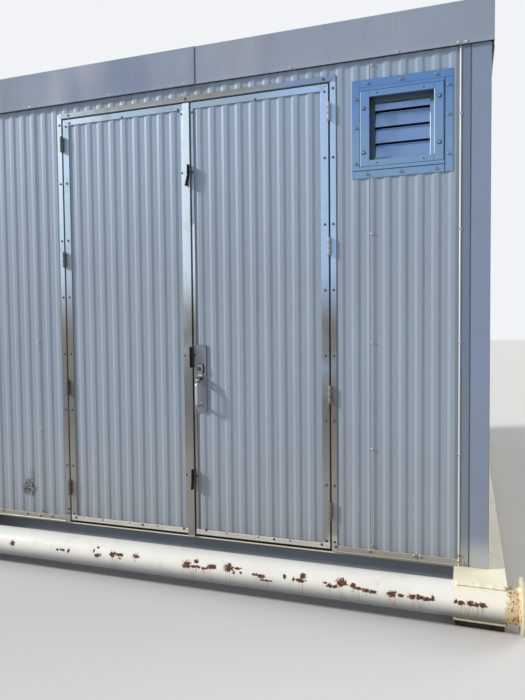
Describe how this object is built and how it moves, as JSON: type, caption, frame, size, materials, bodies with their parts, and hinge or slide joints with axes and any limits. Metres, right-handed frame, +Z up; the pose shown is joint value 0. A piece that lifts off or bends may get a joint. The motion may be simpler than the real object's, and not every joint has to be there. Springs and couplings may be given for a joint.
{
  "type": "portable site cabin",
  "caption": "Portable site cabin on a steel skid, with ribbed metal cladding, outward-opening double doors, a louvred wall vent and cross pipes with keeper discs for towing.",
  "frame": {"origin": "on the ground under the centre of the cabin, at the middle of the runners' undersides", "axes": "+X to the right across the door end, +Y from the door end to the far end along the runners, +Z up; the doors face -Y"},
  "size_m": [2.99, 4.1458, 2.548],
  "materials": {
    "skid_paint": "worn cream gloss paint with rust",
    "runner_steel": "bare rusted and muddy steel",
    "joist_paint": "dull grey primer",
    "floor_board": "worn plywood",
    "pipe_paint": "worn white gloss paint with rust chips",
    "lining": "plain pale satin lining",
    "cladding_paint": "pale grey-white satin coat",
    "corner_trim": "weathered grey satin",
    "galvanised": "dull grey sheet",
    "door_frame_steel": "dull grey",
    "stainless_trim": "brushed, reflecting the sky",
    "hinge_steel": "stained steel",
    "leaf_core": "plain pale satin",
    "rusty_bar": "dark rust",
    "lock_steel": "polished and smudged",
    "vent_metal": "bright folded sheet",
    "blade_metal": "bright folded sheet"
  },
  "bodies": {
    "cabin": {"skid_beams": "skid_paint", "runner_shoes": "runner_steel", "cross_channels": "skid_paint", "floor_joists": "joist_paint", "floor_deck": "floor_board", "cross_pipes": "pipe_paint", "pipe_discs": "skid_paint", "front_wall_left": "lining", "front_wall_right": "lining", "front_wall_head": "lining", "left_wall": "lining", "right_wall": "lining", "back_wall": "lining", "front_cladding": "cladding_paint", "left_cladding": "cladding_paint", "right_cladding": "cladding_paint", "back_cladding": "cladding_paint", "corner_posts": "corner_trim", "corner_flashings": "corner_trim", "base_trims": "corner_trim", "roof_deck": "lining", "roof_sheet": "galvanised", "front_fascia": "galvanised", "side_fascias": "galvanised", "back_fascia": "galvanised", "door_frame": "door_frame_steel", "frame_trims": "stainless_trim", "frame_hinges": "hinge_steel", "vent_flange": "vent_metal", "vent_frame": "vent_metal", "vent_blades": "blade_metal", "vent_sleeve": "vent_metal"},
    "left_door": {"left_leaf": "leaf_core", "left_leaf_cladding": "cladding_paint", "left_leaf_trims": "stainless_trim", "left_leaf_hinges": "hinge_steel", "meeting_strip": "stainless_trim", "turn_bars": "rusty_bar"},
    "right_door": {"right_leaf": "leaf_core", "right_leaf_cladding": "cladding_paint", "right_leaf_trims": "stainless_trim", "right_leaf_hinges": "hinge_steel", "lock_plate": "lock_steel", "lock_cylinder": "lock_steel", "pull_handle": "lock_steel", "thumb_piece": "lock_steel"}
  },
  "joints": [
    {"name": "left_door_hinge", "type": "hinge", "parent": "cabin", "child": "left_door", "pos_m": [-0.6985, -1.839, 1.279], "axis": [0, 0, -1], "range_deg": [0, 110]},
    {"name": "right_door_hinge", "type": "hinge", "parent": "cabin", "child": "right_door", "pos_m": [0.6985, -1.839, 1.279], "axis": [0, 0, 1], "range_deg": [0, 110]}
  ]
}
